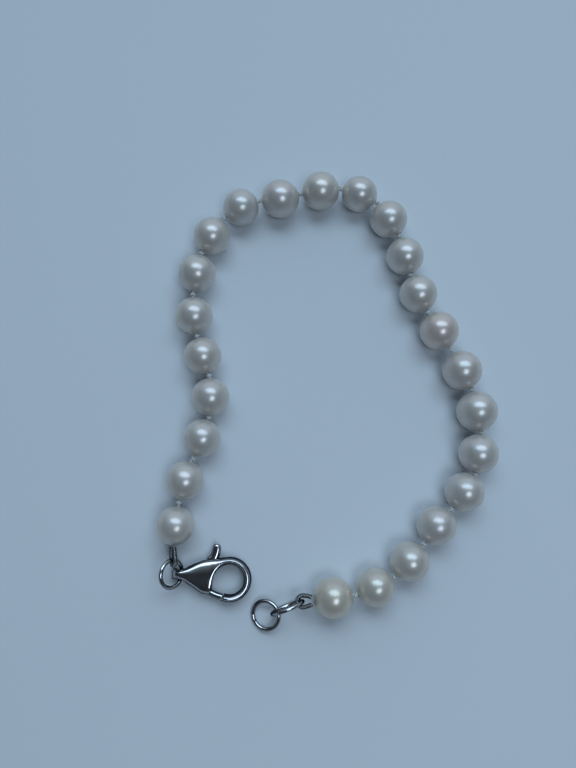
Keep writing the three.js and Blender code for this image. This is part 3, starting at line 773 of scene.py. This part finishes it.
def shell(name, sections, half_height, edge, dome, tips):
    """A closed shell over pairs of points, rounded at its two edges and slightly domed between them.
    Its height falls away at each end as given, from the end inwards."""
    outer, inner = sections
    widths = np.linalg.norm(outer - inner, axis=1)
    edges = np.minimum(np.array(edge) / MM, EDGE_LIMIT * widths[:, None])
    quarter = 1 - np.cos(np.linspace(0, math.pi / 2, EDGE_STEPS))
    between = np.linspace(0, 1, EDGE_STEPS)[1:-1]
    falls = np.ones(len(outer))
    for end, shares in zip((slice(None, len(tips[0])), slice(-1, -1 - len(tips[1]), -1)), tips):
        falls[end] = shares
    rings = []
    for start, end, width, (first, last), fall in zip(outer, inner, widths, edges, falls):
        inset = np.concatenate([
            first * quarter,
            first + (width - first - last) * between,
            width - last * quarter[::-1],
        ])
        ratio = inset / width
        plan = start + (end - start) * ratio[:, None]
        rise = np.clip(np.minimum(inset / first, (width - inset) / last), 0, 1)
        rounded = np.sqrt(1 - (1 - rise) ** 2)
        height = half_height(plan[:, 0]) * rounded * (1 - dome * (2 * ratio - 1) ** 2) * fall
        top = np.column_stack([plan, height])
        bottom = np.column_stack([plan, -height])[-2:0:-1]
        rings.append(np.vstack([top, bottom]))
    return loft(name, rings)


def closed_mesh(name, build):
    """The mesh that was built, with its faces turned outwards."""
    bmesh.ops.recalc_face_normals(build, faces=build.faces)
    mesh = bpy.data.meshes.new(name)
    build.to_mesh(mesh)
    build.free()
    return mesh


def loft(name, rings):
    """A closed mesh over rings of the same number of points, each end closed across the ring."""
    size = len(rings[0])
    half = size // 2
    build = bmesh.new()
    rows = [[build.verts.new(point * MM) for point in ring] for ring in rings]
    for row, following in zip(rows, rows[1:]):
        for a in range(size):
            b = (a + 1) % size
            build.faces.new((row[a], row[b], following[b], following[a]))
    for row in (rows[0], rows[-1]):
        for a in range(half):
            # The first and the last of these faces have only three different corners
            corners = (row[a], row[a + 1], row[-a - 1], row[-a])
            build.faces.new(list(dict.fromkeys(corners)))
    bmesh.ops.remove_doubles(build, verts=build.verts, dist=MERGE)
    bmesh.ops.dissolve_degenerate(build, edges=build.edges, dist=MERGE / 10)
    return closed_mesh(name, build)


def slab(name, outline, thickness):
    """An outline given a thickness about the clasp's middle plane."""
    build = bmesh.new()
    corners = [build.verts.new((x * MM, y * MM, -thickness / 2 * MM)) for x, y in outline]
    face = build.faces.new(corners)
    raised = bmesh.ops.extrude_face_region(build, geom=[face])["geom"]
    lifted = [item for item in raised if isinstance(item, bmesh.types.BMVert)]
    bmesh.ops.translate(build, verts=lifted, vec=(0, 0, thickness * MM))
    return closed_mesh(name, build)


def turned_solid(name, profile, place, sides=32):
    """A solid turned round its own upright axis from pairs of height and radius, millimetres."""
    build = bmesh.new()
    rows = []
    for height, radius in profile:
        if radius == 0:
            rows.append([build.verts.new((0, 0, height * MM))])
            continue
        ring = arc((0, 0), radius, 0, 360 - 360 / sides, sides - 1)
        rows.append([build.verts.new((x * MM, y * MM, height * MM)) for x, y in ring])
    for low, high in zip(rows, rows[1:]):
        for side in range(sides):
            following = (side + 1) % sides
            corners = [low[side % len(low)], low[following % len(low)],
                       high[following % len(high)], high[side % len(high)]]
            build.faces.new(list(dict.fromkeys(corners)))
    mesh = closed_mesh(name, build)
    mesh.transform(place)
    return mesh


def bore_profile(radius):
    """Heights and radii of a plain round cutter that is longer than what it cuts."""
    return [(-CUTTER_REACH, 0), (-CUTTER_REACH, radius), (CUTTER_REACH, radius), (CUTTER_REACH, 0)]


def eye_profile():
    """Heights and radii of the eye's cutter, which flares softly at both mouths."""
    flare = [
        (y, EYE_BORE_RADIUS + EYE_FLARE * (1 - math.sqrt(1 - (y / EYE_HALF_WIDTH) ** 2)))
        for y in np.linspace(-EYE_HALF_WIDTH, EYE_HALF_WIDTH, 13)
    ]
    profile = bore_profile(EYE_BORE_RADIUS + EYE_FLARE)
    return [*profile[:2], *flare, *profile[2:]]


def slot_outline():
    """The slot that the lever swings in: a fan for the gate, a fan for the arm, the hub between."""
    hub = HUB_RADIUS + LEVER_CLEARANCE
    hub_margin = math.degrees(LEVER_CLEARANCE / HUB_RADIUS)
    arm_margin = math.degrees(LEVER_CLEARANCE / TAB_EDGE[0][1])
    arm_low, arm_high = TAB_EDGE[0][0] - arm_margin, TAB_EDGE[-1][0] + LEVER_SWING + arm_margin
    gate_low, gate_high = GATE_LOWER[0][0] - hub_margin, GATE_UPPER[0][0] + LEVER_SWING + hub_margin
    return np.vstack([
        arc(RIVET_PLACE, hub, arm_high, gate_low + 360, 16),
        arc(RIVET_PLACE, GATE_REACH, gate_low, gate_high, 20),
        arc(RIVET_PLACE, hub, gate_high, arm_low, 8),
        arc(RIVET_PLACE, TAB_REACH, arm_low, arm_high, 12),
    ])


def cut(piece, *cutters, operation="DIFFERENCE"):
    """Cuts closed meshes out of a piece, or leaves what is in them, as the piece's own plain mesh."""
    tools = []
    for mesh in cutters:
        tool = shown(mesh.name, mesh)
        tools.append(tool)
        modifier = piece.modifiers.new(mesh.name, "BOOLEAN")
        modifier.operation = operation
        modifier.solver = "EXACT"
        modifier.object = tool
    bake(piece)
    for tool in tools:
        bpy.data.objects.remove(tool)
    return piece


def bake(piece):
    """Puts the result of a piece's modifiers in its mesh and removes them."""
    depsgraph = bpy.context.evaluated_depsgraph_get()
    mesh = bpy.data.meshes.new_from_object(
        piece.evaluated_get(depsgraph), preserve_all_data_layers=True, depsgraph=depsgraph
    )
    piece.modifiers.clear()
    piece.data = mesh


def polish(piece, material):
    """Smooths a piece of the clasp but for its crisp edges, and gives it its metal and place."""
    build = bmesh.new()
    build.from_mesh(piece.data)
    bmesh.ops.remove_doubles(build, verts=build.verts, dist=MERGE)
    for edge in build.edges:
        edge.smooth = len(edge.link_faces) == 2 and edge.calc_face_angle(0) < CRISP_ANGLE
    for face in build.faces:
        face.smooth = True
    build.to_mesh(piece.data)
    build.free()
    piece.data.materials.clear()
    piece.data.materials.append(material)
    piece.data.transform(clasp_place())
    # How far each point looks up, for the painted shade on the metal's lower sides
    up = [corner.normal.z for corner in piece.data.vertices]
    piece.data.attributes.new("up", "FLOAT", "POINT").data.foreach_set("value", up)
    return piece


# Operators


class StringPearls(bpy.types.Operator):
    """Make the twenty-four drilled pearls"""

    bl_idname = "bracelet.string_pearls"
    bl_label = "String the pearls"

    # The pearls whose colour departs most: towards cream above zero, towards rose below
    OVERTONES = {1: 0.1, 4: 0.25, 9: -0.2, 15: -0.55, 16: -0.25, 21: 0.35, 22: 0.6, 23: 0.9}
    SEED_STEP = 3.7

    def execute(self, context):
        settings = context.scene.bracelet_pearls
        material = nacre_material(settings)
        tree = pearl_tree()
        for number, (node, pearl) in enumerate(zip(PEARL_NODES, PEARLS)):
            slight = 0.05 * ((number * 7) % 5 - 2)
            warmth = self.OVERTONES.get(number, slight)
            target = settings.cream if warmth > 0 else settings.rose
            tint = [n + (t - n) * abs(warmth) for n, t in zip(settings.nacre, target)]
            heading = math.atan2(pearl["axis"].y, pearl["axis"].x)
            narrowing = math.sqrt(1 - (DRILL_BORE / pearl["across"]) ** 2)
            piece = grow(
                "nacre_" + node,
                tree,
                across=pearl["across"],
                along=2 * pearl["half"] / narrowing,
                bore=DRILL_BORE,
                mouth_rounding=settings.mouth_rounding,
                unevenness=settings.unevenness,
                sides=settings.sides,
                stations=settings.stations,
                seed=self.SEED_STEP * number,
                centre=pearl["centre"],
                turn=(math.pi / 2, 0, heading + math.pi / 2),
                tint=(*tint, 1),
                material=material,
            )
            settle(piece, "bracelet", "pearl", node)
        return {"FINISHED"}


class KnotSilk(bpy.types.Operator):
    """Make the silk thread with a knot between each pair of pearls"""

    bl_idname = "bracelet.knot_silk"
    bl_label = "Knot the silk"

    def execute(self, context):
        settings = context.scene.bracelet_silk
        points, knots, runs = [], [], []
        for number, pearl in enumerate(PEARLS):
            first, last = pearl["mouth_in"], pearl["mouth_out"]
            if number == 0:
                first = first + SILK_END * pearl["axis"]
            if number == len(PEARLS) - 1:
                last = last - SILK_END * pearl["axis"]
            points += [first, last]
            knots += [False, False]
            runs += [pearl["axis"], pearl["axis"]]
            if number < len(PEARLS) - 1:
                onward = PEARLS[number + 1]["mouth_in"]
                points.append((last + onward) / 2)
                knots.append(True)
                runs.append((onward - last).normalized())
        base = line_mesh("silk_line", points)
        base.attributes.new("knot", "BOOLEAN", "POINT").data.foreach_set("value", knots)
        flat = [value for run in runs for value in run]
        base.attributes.new("run", "FLOAT_VECTOR", "POINT").data.foreach_set("vector", flat)
        piece = grow(
            "knotted_silk",
            silk_tree(),
            base,
            thread=settings.thread,
            strand=settings.strand,
            knot=settings.knot,
            seed=5,
            material=silk_material(settings),
        )
        settle(piece, "bracelet", "silk", "silk_thread")
        return {"FINISHED"}


class CoilFrenchWire(bpy.types.Operator):
    """Make the loop of coiled wire at each end of the string"""

    bl_idname = "bracelet.coil_french_wire"
    bl_label = "Coil the French wire"

    # The two loops in millimetres and degrees, as in the CAD model
    CLEARANCE = 0.12
    LEG_SPREAD = 0.5  # from the loop's line to a leg, at the pearl
    LEG_MIDDLE = 0.4  # where a leg is halfway out to its bow, as a share of the loop's reach
    HELD_WIRE = 0.31  # radius of the ring's wire that hangs in a loop
    CLASP_REACH = 2.2
    CLASP_LEAN = 30  # out of the upright
    CLASP_SAG = 0.1  # how far the clasp's loop sinks over its reach
    RING_REACH = 1.65
    RING_LOOP_TURN = -5  # from the last pearl's drill hole to its loop's line
    RING_WIDEN = 0.1  # this loop lies open, wider than the wire needs

    def path(self, coil, mouth, line, side, reach, bow):
        """Out of the pearl on one side of the line, round the held wire, and back."""
        start = self.CLEARANCE + coil / 4
        places = [(start, self.LEG_SPREAD), (reach * self.LEG_MIDDLE, (self.LEG_SPREAD + bow) / 2)]
        for turn in np.linspace(0, math.pi, 9):
            places.append((reach + bow * math.sin(turn), bow * math.cos(turn)))
        places += [(reach * self.LEG_MIDDLE, -(self.LEG_SPREAD + bow) / 2), (start, -self.LEG_SPREAD)]
        return [mouth + line * along * MM + side * out * MM for along, out in places]

    def execute(self, context):
        settings = context.scene.bracelet_wire
        coil = settings.coil / MM
        # The coil's colour is painted at 0.6 of the metal's, a painted shade for the dark gaps between
        # its windings
        material = metal_material(
            "coiled_white_gold", context.scene.bracelet_clasp, (0.2, 0.34), grain=0.1, shade=0.6
        )
        tree = coil_tree()
        upright = Vector((0, 0, 1))
        first, last = PEARLS[0], PEARLS[-1]
        out_of_first = turned(-first["axis"], CLASP_LOOP_TURN)
        out_of_last = turned(last["axis"], self.RING_LOOP_TURN)
        lean = math.radians(self.CLASP_LEAN)
        room = coil / 2 + self.CLEARANCE
        loops = (
            (
                "loop_clasp_end",
                first["mouth_in"],
                (out_of_first - upright * self.CLASP_SAG / self.CLASP_REACH).normalized(),
                upright * math.cos(lean) + upright.cross(out_of_first) * math.sin(lean),
                self.CLASP_REACH,
                self.HELD_WIRE / math.cos(lean) + room,
            ),
            (
                "loop_ring_end",
                last["mouth_out"],
                out_of_last,
                upright.cross(out_of_last),
                self.RING_REACH,
                self.HELD_WIRE + room + self.RING_WIDEN,
            ),
        )
        for node, mouth, line, side, reach, bow in loops:
            points = self.path(coil, mouth, line, side, reach, bow)
            travelled = sum((b - a).length for a, b in zip(points, points[1:]))
            piece = grow(
                "french_wire_" + node,
                tree,
                line_mesh(node + "_line", points),
                fine_wire=settings.fine_wire,
                coil=settings.coil,
                turns=round(travelled / settings.fine_wire),
                material=material,
            )
            settle(piece, "bracelet", "french_wire", node)
        return {"FINISHED"}


class BendRings(bpy.types.Operator):
    """Make the jump ring, the link and the end ring"""

    bl_idname = "bracelet.bend_rings"
    bl_label = "Bend the rings"

    def execute(self, context):
        settings = context.scene.bracelet_wire
        tree = ring_tree()
        for node in ("jump_ring", "link", "end_ring"):
            ring = ring_of(node)
            turn = Vector((0, 0, 1)).rotation_difference(ring["normal"]).to_euler()
            piece = grow(
                "soldered_" + node,
                tree,
                outer=ring["outer"],
                wire=ring["wire"],
                seam_depth=settings.seam_depth,
                steps=settings.ring_steps,
                centre=ring["centre"],
                turn=turn,
                material=polished_metal(context.scene.bracelet_clasp),
            )
            settle(piece, "bracelet", "white_gold", node)
        return {"FINISHED"}


class BuildClasp(bpy.types.Operator):
    """Make the lobster clasp's body, its lever and its rivet"""

    bl_idname = "bracelet.build_clasp"
    bl_label = "Build the clasp"

    def execute(self, context):
        settings = context.scene.bracelet_clasp
        material = polished_metal(settings)
        at_rivet = Matrix.Translation((RIVET_PLACE[0] * MM, RIVET_PLACE[1] * MM, 0))
        across = Matrix.Translation((-EYE_BACK * MM, 0, 0)) @ Matrix.Rotation(math.pi / 2, 4, "X")
        whole = shell(
            "clasp",
            clasp_sections(),
            side_height,
            (settings.edge, settings.inner_edge),
            settings.dome,
            ((), HOOK_TIP),
        )
        rivet = shown("polished_clasp_rivet", whole.copy())
        body = cut(
            shown("polished_clasp_body", whole),
            slab("slot", slot_outline(), LEVER_THICK + 2 * LEVER_CLEARANCE),
            turned_solid("rivet_hole", bore_profile(RIVET_RADIUS), at_rivet),
            turned_solid("eye_bore", eye_profile(), across, sides=40),
        )
        settle(polish(body, material), "bracelet", "white_gold", "clasp_body")

        thumbed = shell(
            "lever",
            lever_sections(),
            lambda along: np.full(len(along), LEVER_THICK / 2),
            (settings.lever_edge, settings.lever_edge),
            settings.dome / 2,
            (TAB_TIP, ()),
        )
        lever = cut(
            shown("polished_clasp_lever", thumbed),
            turned_solid("lever_hole", bore_profile(LEVER_HOLE_RADIUS), at_rivet),
        )
        settle(polish(lever, material), "lever", "white_gold", "clasp_lever")

        # The rivet's heads are filed flush, so it is a core of the same shell
        core = turned_solid("rivet_core", bore_profile(RIVET_RADIUS - RIVET_GAP), at_rivet)
        cut(rivet, core, operation="INTERSECT")
        settle(polish(rivet, material), "bracelet", "white_gold", "clasp_rivet")
        return {"FINISHED"}


class SetStage(bpy.types.Operator):
    """Set the floor, the lights, the room and the camera"""

    bl_idname = "bracelet.set_stage"
    bl_label = "Set the stage"

    # The camera stands over the bracelet and looks down, a little from the front, as in the photo
    CAMERA_PLACE = (-0.00917, -0.0206, 0.111675)
    CAMERA_RIGHT = (0.99975, 0, 0.02256)
    CAMERA_UP = (-0.00436, 0.98113, 0.1933)
    SENSOR = 36  # long side of the picture, millimetres
    LENS = SENSOR * 676 / 768  # a focal length of 676 pixels where the long side has 768
    COOL = (0.72, 0.86, 1.0)
    SKY = (0.6, 0.82, 1.0)

    # The lights' middles and widths in metres, and the floor's half width
    WINDOW_PLACE, WINDOW_SIZE = (0.043, 0.311, 0.569), (0.74, 0.34)
    LAMP_PLACE, LAMP_SIZE = (0.084, -0.123, 0.372), (0.2, 0.17)
    FLOOR_REACH = 1.5

    # The room is brightest behind the window, dim away from it, and its walls pale low down
    LIT_SIDE = (0.08, 0.9, 0.43)
    LIT_RANGE = (0.42, 0.95)  # how far a direction faces the lit side, from dim to bright
    DIM = 0.055  # away from the lit side, as a share of the brightness
    WALLS = 0.45  # by the floor, likewise
    WALL_TOP = 0.5  # how far up a direction points where the walls have faded

    def light(self, name, place, size, power, tint):
        """An area light that faces the middle of the bracelet."""
        data = bpy.data.lights.new(name, "AREA")
        data.shape, data.size, data.size_y = "ELLIPSE", *size
        data.energy, data.color = power, tint
        lamp = bpy.data.objects.new(name, data)
        bpy.context.scene.collection.objects.link(lamp)
        lamp.location = place
        lamp.rotation_euler = (-Vector(place)).to_track_quat("-Z", "Y").to_euler()

    def room(self, context, brightness):
        """A room with pale walls, lit on one side and dim overhead."""
        world = bpy.data.worlds.new("room")
        context.scene.world = world
        world.use_nodes = True
        bench = Bench(world.node_tree)
        direction = bench.make("ShaderNodeTexCoord", {}, "Generated")
        feed = {0: direction, 1: self.LIT_SIDE}
        facing = bench.make("ShaderNodeVectorMath", feed, 1, operation="DOT_PRODUCT")
        dim, soft = brightness * self.DIM, "SMOOTHSTEP"
        glow = bench.remap(facing, dim, brightness, *self.LIT_RANGE, interpolation_type=soft)
        height = bench.add("ShaderNodeSeparateXYZ", {"Vector": direction}).outputs["Z"]
        pale = brightness * self.WALLS
        walls = bench.remap(height, pale, 0.0, end=self.WALL_TOP, interpolation_type=soft)
        strength = bench.sum("MAXIMUM", glow, walls)
        background = world.node_tree.nodes["Background"]
        background.inputs["Color"].default_value = (*self.COOL, 1)
        world.node_tree.links.new(strength, background.inputs["Strength"])

    def execute(self, context):
        settings = context.scene.bracelet_stage
        build = bmesh.new()
        bmesh.ops.create_grid(build, x_segments=4, y_segments=4, size=self.FLOOR_REACH)
        mesh = bpy.data.meshes.new("floor")
        build.to_mesh(mesh)
        build.free()
        mesh.transform(Matrix.Translation((0, 0, CAD_BOX[0].z)))
        mesh.materials.append(floor_material(settings))
        shown("floor", mesh)
        self.light("window", self.WINDOW_PLACE, self.WINDOW_SIZE, settings.window, self.SKY)
        self.light("lamp", self.LAMP_PLACE, self.LAMP_SIZE, settings.lamp, self.COOL)
        self.room(context, settings.sky)
        context.scene.view_settings.view_transform = "Standard"

        data = bpy.data.cameras.new("camera")
        data.sensor_width, data.lens = self.SENSOR, self.LENS
        data.clip_start, data.clip_end = 0.005, 10
        camera = bpy.data.objects.new("camera", data)
        context.scene.collection.objects.link(camera)
        right, up = Vector(self.CAMERA_RIGHT), Vector(self.CAMERA_UP)
        turn = Matrix((right, up, right.cross(up))).transposed().to_4x4()
        camera.matrix_world = Matrix.Translation(self.CAMERA_PLACE) @ turn
        context.scene.camera = camera
        return {"FINISHED"}


class BraceletPanel(bpy.types.Panel):
    """Sizes, colours and steps of the bracelet"""

    bl_idname = "VIEW3D_PT_bracelet"
    bl_label = "Pearl bracelet"
    bl_space_type = "VIEW_3D"
    bl_region_type = "UI"
    bl_category = "Bracelet"

    def draw(self, context):
        for key, group in GROUPS.items():
            box = self.layout.box()
            box.label(text=group.__doc__)
            for name in group.__annotations__:
                box.prop(getattr(context.scene, key), name)
        for step in STEPS:
            self.layout.operator(step.bl_idname)


GROUPS = {
    "bracelet_pearls": PearlSettings,
    "bracelet_silk": SilkSettings,
    "bracelet_wire": WireSettings,
    "bracelet_clasp": ClaspSettings,
    "bracelet_stage": StageSettings,
}
STEPS = (StringPearls, KnotSilk, CoilFrenchWire, BendRings, BuildClasp, SetStage)


def register():
    for group in GROUPS.values():
        bpy.utils.register_class(group)
    for key, group in GROUPS.items():
        setattr(bpy.types.Scene, key, bpy.props.PointerProperty(type=group))
    for kind in (*STEPS, BraceletPanel):
        bpy.utils.register_class(kind)


def unregister():
    for kind in (BraceletPanel, *reversed(STEPS)):
        bpy.utils.unregister_class(kind)
    for key, group in reversed(GROUPS.items()):
        delattr(bpy.types.Scene, key)
        bpy.utils.unregister_class(group)


def main():
    """Builds every piece in order."""
    register()
    for step in STEPS:
        family, name = step.bl_idname.split(".")
        getattr(getattr(bpy.ops, family), name)()


if __name__ == "__main__":
    main()
